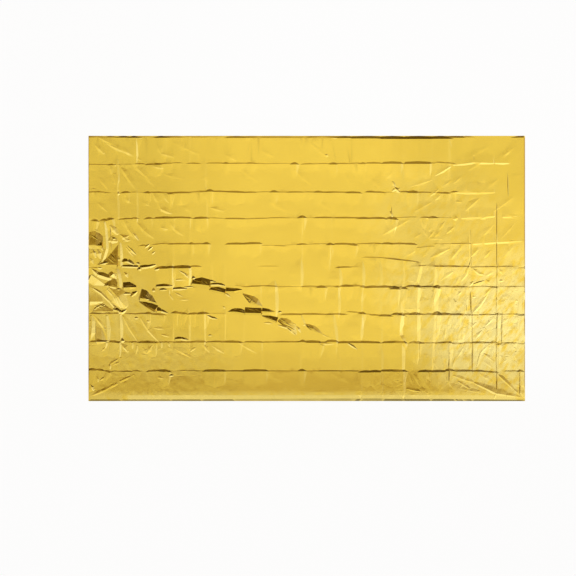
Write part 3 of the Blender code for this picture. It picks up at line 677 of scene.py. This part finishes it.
        (520, 300, 600, 350, 5, 24, 5, 0.25, 2.0), (760, 300, 830, 370, 5, 26, 6, 0.25, 2.4),
        (900, 300, 1000, 380, 5, 26, 6, 0.25, 1.8), (380, 470, 410, 505, 4, 16, 4, 0.3, 2.8),
        (310, 470, 350, 430, 4, 18, 4, 0.6, 2.6), (414, 456, 424, 432, 5, 8, 5, 0.6, 13),
        (420, 430, 446, 402, 4, 9, 5, 0.6, 16), (412, 408, 432, 424, 4, 9, 3, 0.6, 12),
        (430, 404, 448, 424, 4, 9, 3, 0.4, 9), (400, 300, 412, 274, 3, 8, 5, 0.6, 12),
        (576, 272, 584, 262, 4, 9, 4, 0.8, 6), (578, 170, 560, 204, 3, 8, 4, 1.5, 6),
        (612, 196, 586, 160, 4, 8, 3, 1.5, 7), (642, 198, 614, 164, 3, 9, 3, 1.5, 7),
        (600, 214, 588, 196, 3, 7, 3, 1.5, 6), (706, 216, 674, 186, 5, 12, 4, 1.5, 7),
        (664, 246, 634, 202, 3, 8, 3, 1.5, 7), (566, 206, 556, 244, 3, 8, 3, 1.5, 5),
        (648, 155, 590, 158, 3, 7, 3, 1.5, 6), (548, 182, 516, 160, 3, 9, 3, 1.5, 6),
        (724, 264, 706, 260, 6, 12, 6, 3.0, 9), (790, 272, 768, 264, 4, 10, 4, 3.0, 8),
        (872, 276, 836, 262, 4, 12, 4, 3.0, 8), (716, 352, 744, 350, 4, 12, 4, 0.8, 4),
        (596, 56, 690, 104, 5, 22, 6, 0.28, 3.4), (696, 50, 726, 92, 6, 20, 18, 0.28, 3.8),
        (726, 92, 756, 126, 18, 16, 5, 0.28, 3.8), (560, 60, 580, 92, 4, 14, 4, 0.35, 3.4),
        (786, 56, 828, 104, 5, 20, 6, 0.28, 3.2), (846, 48, 884, 92, 5, 20, 6, 0.28, 3.2),
        (612, 58, 652, 84, 4, 14, 4, 0.3, 3.4), (950, 60, 1000, 120, 5, 22, 6, 0.28, 2.2),
        (470, 60, 520, 90, 4, 18, 4, 0.3, 2.4), (830, 150, 900, 232, 5, 24, 6, 0.28, 2.4),
        (930, 150, 1010, 250, 5, 24, 6, 0.28, 2.0), (706, 545, 806, 560, 20, 60, 60, 0.09, 1.5),
        (806, 560, 898, 556, 60, 60, 40, 0.09, 1.5), (906, 557, 978, 556, 40, 60, 30, 0.09, 1.6),
        (722, 399, 816, 400, 30, 56, 56, 0.09, 1.4), (816, 400, 902, 402, 56, 50, 30, 0.09, 1.2),
        (746, 266, 820, 270, 40, 50, 50, 0.1, 1.5), (822, 270, 902, 276, 50, 50, 40, 0.1, 1.4),
        (944, 272, 1044, 276, 40, 50, 40, 0.1, 1.4), (800, 129, 902, 137, 40, 56, 50, 0.1, 1.5),
        (906, 137, 1042, 145, 50, 56, 40, 0.1, 1.5),
    ),
    "right": (  # crossed both ways
        (648, -62, 702, -20, 5, 16, 8, 0.35, 6), (744, -66, 768, -34, 5, 14, 12, 0.4, 8),
        (768, -34, 776, 4, 12, 10, 5, 0.5, 9), (712, -88, 736, -44, 5, 16, 6, 0.8, 6),
        (786, -92, 800, -72, 6, 12, 6, 0.5, 15), (852, -66, 802, -84, 10, 22, 12, 0.3, 9),
        (800, -4, 830, -30, 4, 12, 10, 0.6, 13), (830, -30, 852, -34, 10, 10, 4, 0.6, 11),
        (862, -60, 884, -84, 4, 11, 4, 0.6, 11), (858, -44, 902, -16, 5, 14, 6, 0.35, 8),
        (924, -2, 942, -32, 4, 12, 5, 0.6, 12), (926, -70, 944, -64, 5, 11, 5, 0.6, 13),
        (946, -40, 1000, -14, 5, 16, 5, 0.4, 6), (956, -84, 986, -50, 4, 12, 4, 0.5, 8),
        (728, -142, 748, -120, 5, 12, 5, 0.5, 17), (714, -112, 720, -130, 4, 8, 4, 0.6, 12),
        (708, -164, 718, -196, 5, 10, 9, 0.5, 18), (718, -196, 730, -222, 9, 9, 4, 0.6, 17),
        (738, -150, 764, -196, 5, 12, 5, 0.6, 10), (762, -196, 756, -228, 5, 9, 4, 0.6, 10),
        (796, -152, 814, -150, 4, 9, 4, 0.6, 9), (804, -230, 834, -196, 6, 14, 12, 0.6, 11),
        (834, -196, 872, -134, 12, 12, 5, 0.6, 11), (850, -150, 884, -110, 5, 12, 5, 0.5, 10),
        (900, -130, 880, -180, 5, 12, 5, 0.4, 7), (958, -128, 988, -116, 6, 12, 5, 0.5, 14),
        (940, -142, 952, -160, 4, 10, 4, 0.6, 10), (938, -180, 980, -150, 4, 14, 4, 0.5, 8),
        (940, -226, 990, -190, 4, 16, 4, 0.5, 7), (656, -120, 676, -170, 4, 12, 4, 0.5, 6),
        (676, -150, 690, -200, 4, 12, 4, 0.6, 7), (640, -130, 650, -190, 4, 10, 4, 0.5, 5),
    ),
    "front right": (
        (686, -260, 676, -300, 5, 12, 5, 0.5, 7), (676, -300, 700, -388, 5, 12, 6, 0.6, 10),
        (706, -384, 720, -300, 5, 14, 6, 0.4, 8), (760, -262, 786, -300, 5, 12, 5, 0.6, 10),
        (774, -330, 812, -290, 5, 14, 5, 0.5, 9), (822, -260, 846, -312, 5, 12, 10, 0.6, 10),
        (846, -312, 880, -372, 10, 12, 5, 0.6, 10), (860, -304, 900, -262, 5, 14, 6, 0.5, 13),
        (812, -372, 842, -330, 5, 14, 5, 0.5, 9), (864, -340, 898, -318, 4, 12, 4, 0.5, 8),
        (1006, -280, 1028, -252, 6, 15, 6, 0.5, 19), (978, -352, 996, -388, 6, 11, 6, 0.6, 16),
        (950, -352, 990, -286, 5, 14, 6, 0.5, 11), (940, -290, 970, -262, 4, 12, 4, 0.5, 8),
        (1004, -300, 1006, -340, 4, 8, 4, 0.6, 10), (940, -378, 962, -350, 4, 12, 4, 0.4, 8),
        (726, -384, 744, -330, 5, 14, 5, 0.35, 8), (660, -384, 668, -320, 5, 12, 5, 0.4, 6),
        (878, -404, 848, -432, 6, 9, 9, 0.5, 12), (834, -452, 818, -520, 9, 11, 5, 0.5, 13),
        (848, -432, 834, -452, 9, 10, 9, 0.5, 12), (852, -452, 902, -494, 5, 14, 5, 0.5, 11),
        (850, -492, 890, -524, 4, 12, 4, 0.5, 9), (968, -408, 984, -440, 5, 11, 11, 0.5, 15),
        (984, -440, 1000, -486, 11, 12, 11, 0.5, 19), (1000, -486, 1020, -532, 11, 11, 6, 0.5, 17),
        (726, -470, 752, -420, 4, 14, 4, 0.5, 8), (750, -450, 776, -520, 5, 14, 5, 0.5, 8),
        (640, -430, 664, -530, 5, 14, 5, 0.6, 7), (600, -470, 628, -530, 5, 14, 5, 0.6, 7),
        (560, -440, 590, -510, 4, 14, 4, 0.5, 5), (712, -470, 700, -530, 4, 12, 4, 0.4, 8),
        (860, -410, 900, -430, 4, 16, 5, 0.3, 6), (930, -460, 970, -520, 4, 18, 5, 0.4, 6),
    ),
    "front right corner": (  # and the front edge
        (704, -568, 760, -592, 5, 14, 14, 0.5, 11), (760, -592, 808, -606, 14, 12, 5, 0.6, 11),
        (728, -600, 786, -642, 5, 14, 6, 0.5, 13), (806, -608, 866, -638, 8, 18, 20, 0.4, 15),
        (866, -638, 908, -662, 20, 26, 24, 0.35, 16), (906, -662, 962, -672, 24, 30, 20, 0.3, 15),
        (962, -672, 1034, -684, 18, 12, 4, 0.5, 19), (916, -560, 950, -594, 5, 13, 13, 0.5, 19),
        (950, -594, 994, -640, 13, 12, 6, 0.5, 18), (994, -640, 1026, -672, 6, 10, 4, 0.5, 13),
        (1030, -546, 1030, -600, 6, 10, 10, 0.5, 14), (1030, -600, 1030, -650, 10, 13, 13, 0.5, 18),
        (1030, -650, 1044, -684, 13, 14, 8, 0.5, 19), (830, -556, 890, -604, 5, 16, 6, 0.5, 9),
        (902, -690, 912, -664, 6, 9, 5, 0.5, 20), (668, -580, 706, -640, 5, 14, 5, 0.5, 9),
        (660, -560, 672, -600, 5, 10, 5, 0.5, 8), (735, -640, 860, -664, 5, 16, 5, 0.4, 6),
        (516, -562, 534, -600, 5, 14, 12, 0.6, 11), (534, -600, 548, -628, 12, 10, 5, 0.6, 11),
        (490, -552, 520, -640, 4, 12, 4, 0.7, 7), (480, -640, 548, -656, 5, 16, 6, 0.5, 12),
        (548, -640, 580, -664, 5, 12, 5, 0.5, 8), (560, -580, 600, -660, 5, 22, 6, 0.6, 5),
        (620, -560, 640, -650, 5, 20, 6, 0.6, 5), (20, -660, 130, -662, 4, 14, 4, 0.5, 5),
        (-200, -556, -120, -600, 4, 24, 5, 0.4, 2.2), (120, -556, 200, -610, 4, 24, 5, 0.4, 2.2),
    ),
    "fine ribs": (  # on the larger slopes of the other groups
        (-546, -62, -500, -74, 2, 5, 3, 0.8, 7), (-512, -80, -486, -86, 2, 4, 2, 0.8, 6),
        (-492, -62, -478, -82, 2, 5, 2, 0.8, 8), (-456, -104, -426, -116, 2, 5, 3, 0.8, 6),
        (-430, -110, -408, -124, 2, 4, 2, 0.8, 6), (-376, -108, -340, -111, 2, 5, 2, 0.8, 6),
        (-296, -146, -262, -170, 2, 5, 3, 0.8, 7), (-288, -162, -246, -184, 2, 5, 2, 0.8, 7),
        (-366, -222, -338, -216, 2, 4, 2, 0.8, 6), (-332, -218, -304, -228, 2, 4, 2, 0.8, 7),
        (-288, -212, -252, -222, 2, 5, 2, 0.8, 8), (-250, -214, -226, -228, 2, 4, 2, 0.8, 7),
        (-204, -222, -172, -226, 2, 4, 2, 0.8, 5), (-202, -254, -168, -266, 2, 4, 2, 0.8, 7),
        (-128, -268, -92, -292, 2, 5, 3, 0.8, 7), (-118, -284, -74, -306, 2, 6, 3, 0.8, 7),
        (-110, -300, -62, -326, 2, 6, 3, 0.8, 7), (-8, -300, 34, -326, 2, 6, 3, 0.8, 7),
        (6, -298, 50, -334, 2, 5, 2, 0.8, 6), (-796, -150, -762, -172, 2, 5, 2, 0.8, 6),
        (-782, -136, -752, -160, 2, 4, 2, 0.8, 6), (-796, -180, -760, -198, 2, 4, 2, 0.8, 6),
        (-870, -95, -834, -91, 2, 4, 2, 0.8, 6), (-924, -143, -896, -208, 2, 7, 4, 0.8, 13),
        (-940, -130, -914, -186, 2, 6, 3, 0.8, 12), (-906, -150, -886, -206, 2, 6, 3, 0.8, 13),
        (-960, -112, -930, -150, 2, 6, 3, 0.8, 12), (-1040, 176, -1006, 150, 2, 6, 3, 0.8, 7),
        (-960, 60, -930, 30, 2, 6, 3, 0.8, 6), (-948, 80, -920, 40, 2, 6, 2, 0.8, 6),
        (-1024, -196, -990, -212, 2, 6, 3, 0.8, 8), (-1008, -184, -972, -206, 2, 6, 3, 0.8, 8),
    ),
}

# Folds meet in layers: within a layer the highest fold counts, and the layers are summed.
foldLayers = ("creases", "folds", "back edge", "ribs")

# How steep each group is made, as a share of the tilts above, how narrow its narrower slopes may be, where
# more makes them softer, and its layer.
softness = {
    # group: share, millimetres, layer
    "slanting band": (0.95, 3.0, "folds"),
    "left group": (0.90, 3.0, "folds"),
    "left edge, back": (0.90, 4.0, "folds"),
    "left edge, front": (0.90, 4.0, "folds"),
    "front left corner": (1.0, 6.0, "folds"),
    "back left": (1.0, 11.0, "folds"),
    "back middle": (1.0, 12.0, "folds"),
    "back right": (0.85, 9.0, "folds"),
    "right": (0.52, 6.0, "folds"),
    "front right": (0.50, 6.0, "folds"),
    "front right corner": (0.38, 5.0, "folds"),
    "fine ribs": (1.0, 2.0, "ribs"),
}


def widthProfile(length, tip, start, middle, end):
    # where along a fold its width is known, and that width: it comes to a point past either end
    return (-tip, 0.0, length / 2, length, length + tip), (0.0, start, middle, end, 0.0)


def course(x1, y1, x2, y2):
    # a fold's length and the way it runs
    length = math.hypot(x2 - x1, y2 - y1)
    return length, (x2 - x1) / length, (y2 - y1) / length


def sloped(x1, y1, x2, y2, width, other, tilt, tip, layer="folds"):
    # a fold of even width, its crest set off so that the middle of its left slope runs through the places
    _, runX, runY = course(x1, y1, x2, y2)
    offX, offY = runY * width / 2, -runX * width / 2
    ends = (x1 + offX, y1 + offY, x2 + offX, y2 + offY)
    endWidth = foil["endWidth"] * width
    return ends + (endWidth, width, endWidth, other, tilt, tip, layer)


def allFolds():
    # every fold of the tables, with its tip and its layer
    rows = []
    for x1, y1, x2, y2, size in creases:
        width = foil["creaseWidth"] * size
        tilt = foil["creaseTilt"][0] + foil["creaseTilt"][1] * size
        tip = foil["creaseTip"]
        rows.append(sloped(x1, y1, x2, y2, width, foil["creaseFront"], tilt, tip, "creases"))
    for x1, x2, width, tilt in backEdge:
        y = halfDepth / mm - width / 2
        steep = tilt * foil["tiltShare"]
        rows.append(sloped(x1, y, x2, y, width, foil["hemInner"], steep, foil["longTip"], "back edge"))
    for side, y1, y2, width in sideEdges:
        x = side * (halfWidth / mm - width / 2)
        ends = (x, y1, x, y2) if side < 0 else (x, y2, x, y1)
        rows.append(sloped(*ends, width, foil["hemInner"], foil["sideTilt"][side > 0], foil["creaseTip"]))
    for x1, y1, x2, y2, width in lightLines:
        spread = foil["lightWidth"] * width
        tilt = foil["lightTilt"][0] + foil["lightTilt"][1] * width
        rows.append(sloped(x1, y1, x2, y2, spread, foil["lightOther"], tilt, foil["lightTip"]))
    for x1, y1, x2, y2, width in darkLines:
        rows.append(sloped(x1, y1, x2, y2, width, 1.0, foil["darkTilt"], foil["longTip"]))
    for group, groupRows in folds.items():
        share, narrowest, layer = softness[group]
        for x1, y1, x2, y2, start, middle, end, other, tilt in groupRows:
            _, runX, _ = course(x1, y1, x2, y2)
            steep = share * tilt * foil["tiltShare"]
            slope = math.tan(math.radians(steep))
            other = max(other, narrowest / middle, slope / math.tan(math.radians(foil["steepest"])))
            # a raised crest is seen further back than it is: it's put that much to the front
            spread = 1.0 / (1.0 - runX * slope * leanBack)
            widths = (start * spread, middle * spread, end * spread)
            drop = slope * leanBack
            ends = (x1, y1 - widths[0] * drop, x2, y2 - widths[2] * drop)
            point = max(widths[0], widths[2]) * slope / math.tan(math.radians(foil["bluntest"]))
            rows.append(ends + widths + (other, steep, max(foil["foldTip"], point), layer))
    return rows


def foldHeights(x, y):
    layers = {name: np.zeros_like(x) for name in foldLayers}
    for x1, y1, x2, y2, start, middle, end, other, tilt, tip, layer in allFolds():
        length, runX, runY = course(x1, y1, x2, y2)
        fromX, fromY = x / mm - x1, y / mm - y1
        lengthwise = fromX * runX + fromY * runY
        leftward = fromY * runX - fromX * runY
        width = np.interp(lengthwise, *widthProfile(length, tip, start, middle, end))
        distance = np.where(leftward > 0.0, leftward, -leftward / other)
        height = np.maximum(width - distance, 0.0) * math.tan(math.radians(tilt)) * mm
        layers[layer] = np.maximum(layers[layer], height)
    return sum(layers.values())


def foldLines():
    # crest, feet and cross lines of every fold
    lines = []
    for x1, y1, x2, y2, start, middle, end, other, tilt, tip, layer in allFolds():
        length, runX, runY = course(x1, y1, x2, y2)
        places, widths = widthProfile(length, tip, start, middle, end)
        runs = []
        for side in (1.0, 0.0, -other):
            run = []
            for place, width in zip(places, widths):
                across = side * width
                point = (x1 + place * runX - across * runY, y1 + place * runY + across * runX)
                run.append(keepInside(point))
            runs.append(run)
        for run in runs:
            lines += list(zip(run, run[1:]))
        for left, crest, right in list(zip(*runs))[1:-1]:
            lines += [(left, crest), (crest, right)]
    return lines


def keepInside(point):
    x, y = point
    return min(max(x * mm, -halfWidth), halfWidth), min(max(y * mm, -halfDepth), halfDepth)


def edgeLines():
    # the sheet's four edges, the lines of its front bend and the top of the edge's turn
    columns = np.linspace(-halfWidth, halfWidth, foil["edgeParts"] + 1)
    across = [np.full_like(columns, -halfDepth), np.full_like(columns, halfDepth)]
    across += [np.full_like(columns, distance * mm - halfDepth) for distance, _ in foil["frontProfile"]]
    across.append(turnDepth(columns / mm) - halfDepth)
    runs = [np.column_stack((columns, places)) for places in across]
    backwards = np.linspace(-halfDepth, halfDepth, foil["edgeParts"] // 2)
    for side in (-halfWidth, halfWidth):
        runs.append(np.column_stack((np.full_like(backwards, side), backwards)))
    lines = []
    for run in runs:
        lines += list(zip(run[:-1].tolist(), run[1:].tolist()))
    return lines


def lipKnots():
    # how steeply the front edge turns down, from the left side to the right one
    knots, angles = [-halfWidth / mm, halfWidth / mm], [foil["lipTurn"], foil["lipTurn"]]
    for x1, x2, angle in frontEdge:
        change = foil["lipChange"]
        knots += [x1 - change, x1 + change, x2 - change, x2 + change]
        angles += [foil["lipTurn"], angle, angle, foil["lipTurn"]]
    order = np.argsort(knots, kind="stable")
    return np.array(knots)[order], np.array(angles)[order]


def lipRise(x):
    # the bend's height over the panels, with x in millimetres
    return np.interp(x * mm / halfWidth, foil["bendPlaces"], foil["bendRise"]) * mm


def lipShare(x):
    # how much of a lip there is: none at either end of the front edge
    return np.interp(x, foil["lipEnds"], (0.0, 1.0, 1.0, 0.0))


def turnDepth(x):
    # how deep the turn of the front edge is
    fall = foil["lipSlope"] * lipShare(x) * foil["frontProfile"][-1][0] * mm
    lowered = lipRise(x) - fall + foil["panelLift"]
    return lowered / np.tan(np.radians(np.interp(x, *lipKnots())))


def frontHeight(x, y):
    # the climb of the last panel to its bend, the lip in front of it and its edge, turned down to the floor
    distance = y / mm + halfDepth / mm
    places, shares = zip(*sorted(foil["frontProfile"]))
    rise = lipRise(x / mm)
    climb = rise * np.interp(distance, places, shares)
    lip = rise - foil["lipSlope"] * lipShare(x / mm) * (places[0] - distance) * mm
    drop = np.clip(distance * mm / turnDepth(x / mm), 0.0, 1.0)
    turned = (lip + foil["panelLift"]) * drop - foil["panelLift"]
    return np.where(distance < places[0], turned, climb)


def zoneValues(x, y):
    # how crinkled the film is at each place, and how strong the painted highlight in its colour is there
    crinkle = np.zeros_like(x)
    paintedHighlight = np.zeros_like(x)
    for zoneX, zoneY, reachX, reachY, crinkled, pale in zones:
        away = np.hypot((x / mm - zoneX) / reachX, (y / mm - zoneY) / reachY)
        fade = np.clip(1.0 - away ** 2, 0.0, 1.0)
        crinkle = np.maximum(crinkle, crinkled * fade)
        paintedHighlight = np.maximum(paintedHighlight, pale * fade)
    return crinkle, paintedHighlight


def plainPoints():
    # a loose grid of points between the folds, closer where the film is lively
    chance = random.Random(foil["seed"])
    step, loose = foil["grid"], foil["loose"]
    points = []
    for i in range(1, int(2 * halfWidth / step)):
        for j in range(1, int(2 * halfDepth / step)):
            x = (i + chance.uniform(-loose, loose)) * step - halfWidth
            y = (j + chance.uniform(-loose, loose)) * step - halfDepth
            points.append((x, y, i % 2 + j % 2))
    places = np.array(points)
    crinkle, _ = zoneValues(places[:, 0], places[:, 1])
    keep = (crinkle > foil["livelyGrid"]) | (places[:, 2] == 0)
    return [Vector(place[:2]) for place in places[keep]]


def slanting(tree, x, y):
    # a place for patterns that run out to both back corners, drawn out along that way
    side = tree.add("ShaderNodeMath", {"operation": "ABSOLUTE"}, {0: x})
    return tree.add("ShaderNodeCombineXYZ", None, {0: (side + y) * foil["streakStretch"], 1: y - side, 2: x})


def crinkleGroup(material):
    # lifts each point by a soft noise and, where the film is lively, by slanting waves and at random
    group = bpy.data.node_groups.new("film crinkle", "GeometryNodeTree")
    tree = Tree(group)
    group.interface.new_socket("Geometry", in_out="INPUT", socket_type="NodeSocketGeometry")
    for name in ("Soft Height", "Soft Size", "Facet Height", "Streak Height", "Streak Size"):
        group.interface.new_socket(name, in_out="INPUT", socket_type="NodeSocketFloat")
    group.interface.new_socket("Seed", in_out="INPUT", socket_type="NodeSocketInt")
    group.interface.new_socket("Geometry", in_out="OUTPUT", socket_type="NodeSocketGeometry")
    given = group.nodes.new("NodeGroupInput")
    wires = {socket.name: Wire(tree, socket) for socket in given.outputs if socket.name}
    place = tree.add("GeometryNodeInputPosition")
    x, y, z = tree.split(place)
    soft = tree.add("ShaderNodeTexNoise", {"noise_dimensions": "4D"},
                    {"Vector": place, "W": wires["Seed"], "Scale": wires["Soft Size"],
                     "Detail": foil["softDetail"]})
    lively = tree.add("GeometryNodeInputNamedAttribute", {"data_type": "FLOAT"}, {"Name": "crinkle"})
    jitter = tree.add("FunctionNodeRandomValue", {"data_type": "FLOAT"},
                      {2: -1.0, 3: 1.0, "Seed": wires["Seed"]}, 1)
    streaks = tree.add("ShaderNodeTexNoise", None,
                       {"Vector": slanting(tree, x, y), "Scale": wires["Streak Size"],
                        "Detail": foil["streakDetail"]})
    lift = (soft - 0.5) * wires["Soft Height"] + jitter * lively * wires["Facet Height"]
    lift = lift + (streaks - 0.5) * lively * wires["Streak Height"]
    raised = tree.add("ShaderNodeMath", {"operation": "MAXIMUM"}, {0: z + lift, 1: 0.0})
    moved = tree.add("ShaderNodeCombineXYZ", None, {0: x, 1: y, 2: raised})
    geometry = tree.add("GeometryNodeSetPosition", None, {"Geometry": wires["Geometry"], "Position": moved})
    geometry = tree.add("GeometryNodeRealizeInstances", None, {"Geometry": geometry})
    geometry = tree.add("GeometryNodeSetMaterial", None, {"Geometry": geometry, "Material": material})
    tree.add("NodeGroupOutput", None, {0: geometry})
    return group


def applied(thing):
    # the object's mesh as its modifiers leave it, kept as a plain mesh
    plain = bpy.data.meshes.new_from_object(thing.evaluated_get(bpy.context.evaluated_depsgraph_get()))
    thing.modifiers.clear()
    thing.data = plain
    return plain


def sheetMesh():
    points, edges = [], []
    for start, end in edgeLines() + foldLines():
        points += [Vector(start), Vector(end)]
        edges.append((len(points) - 2, len(points) - 1))
    points += plainPoints()
    plan = delaunay_2d_cdt(points, edges, [], 0, foil["join"])
    flat = np.array([point[:] for point in plan[0]])
    x, y = flat[:, 0], flat[:, 1]
    height = foil["panelLift"] + foldHeights(x, y) + frontHeight(x, y)
    mesh = bpy.data.meshes.new("foil_blanket")
    mesh.from_pydata(np.column_stack((flat, height)).tolist(), [], plan[2])
    crinkle, paintedHighlight = zoneValues(x, y)
    mesh.attributes.new("crinkle", "FLOAT", "POINT").data.foreach_set("value", crinkle)
    mesh.attributes.new("paintedHighlight", "FLOAT", "POINT").data.foreach_set("value", paintedHighlight)
    # how far each face leans to the front or the right, which sets a painted highlight in the film's colour
    leanForHighlight = np.array([max(face.normal.x, -face.normal.y) for face in mesh.polygons])
    lipBack = foil["frontProfile"][-1][0] * mm - halfDepth
    onLip = [face.index for face in mesh.polygons if face.center.y < lipBack]
    # on the lip a fixed painted highlight instead, fading out towards its ends
    leanForHighlight[onLip] = foil["lipHighlight"] * lipShare([mesh.polygons[i].center.x / mm for i in onLip])
    mesh.attributes.new("highlightLean", "FLOAT", "FACE").data.foreach_set("value", leanForHighlight)
    return mesh


def makeSheet():
    sheet = bpy.data.objects.new("foil_blanket", sheetMesh())
    bpy.context.scene.collection.objects.link(sheet)
    crinkle = sheet.modifiers.new("crinkle", "NODES")
    crinkle.node_group = crinkleGroup(goldFilm())
    values = {"Soft Height": foil["softHeight"], "Soft Size": foil["softSize"],
              "Facet Height": foil["facetHeight"], "Streak Height": foil["streakHeight"],
              "Streak Size": foil["streakSize"], "Seed": foil["seed"]}
    for socket in crinkle.node_group.interface.items_tree:
        if socket.name in values:
            crinkle[socket.identifier] = values[socket.name]
    applied(sheet)
    shell = sheet.modifiers.new("film", "SOLIDIFY")
    shell.thickness = foil["film"]
    shell.offset = 1.0
    mesh = applied(sheet)
    mesh.shade_smooth()
    mesh.set_sharp_from_angle(angle=math.radians(foil["crispAngle"]))
    print("foil sheet made,", sum(len(face.vertices) - 2 for face in mesh.polygons), "triangles")
    return sheet


def goldFilm():
    material = bpy.data.materials.new("gold film")
    material.use_nodes = True
    tree = Tree(material.node_tree)
    place = tree.add("ShaderNodeTexCoord", output=3)
    slow = tree.noise(place, foil["goldSize"], foil["goldDetail"])
    colour = tree.mixColour(slow, *foil["gold"])
    x, y, _ = tree.split(place)
    streaks = tree.noise(slanting(tree, x, y), foil["highlightStreakSize"], foil["highlightStreakDetail"])
    # painted highlight: a paler gold mixed in where the zones and the slanting streaks say
    streakHighlight = tree.add("ShaderNodeAttribute", {"attribute_name": "paintedHighlight"}, None, 2)
    streakHighlight = streakHighlight * tree.ramp(streaks, *foil["highlightStreaks"])
    # painted highlight on faces that lean to the front or the right, which mirror the bright light there
    leanForHighlight = tree.add("ShaderNodeAttribute", {"attribute_name": "highlightLean"}, None, 2)
    leaningHighlight = tree.ramp(leanForHighlight, *foil["highlightFacing"]) * tree.ramp(leanForHighlight, *foil["steepUnhighlighted"])
    colour = tree.mixColour(tree.most(streakHighlight, leaningHighlight * foil["highlightFacingShare"]), colour, foil["highlightGold"])
    smooth, rough = foil["roughness"]
    roughNoise = tree.noise(place, foil["roughSize"], foil["roughDetail"])
    roughness = smooth + (rough - smooth) * roughNoise
    values = {"Base Color": colour, "Metallic": 1.0, "Roughness": roughness, "Coat Weight": 1.0,
              "Coat Roughness": foil["coatRoughness"]}
    shader = tree.add("ShaderNodeBsdfPrincipled", None, values)
    tree.add("ShaderNodeOutputMaterial", None, {0: shader})
    return material


makeCamera()
makeStudio()
sheet = makeSheet()
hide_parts("foil_sheet")
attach(sheet, "root")
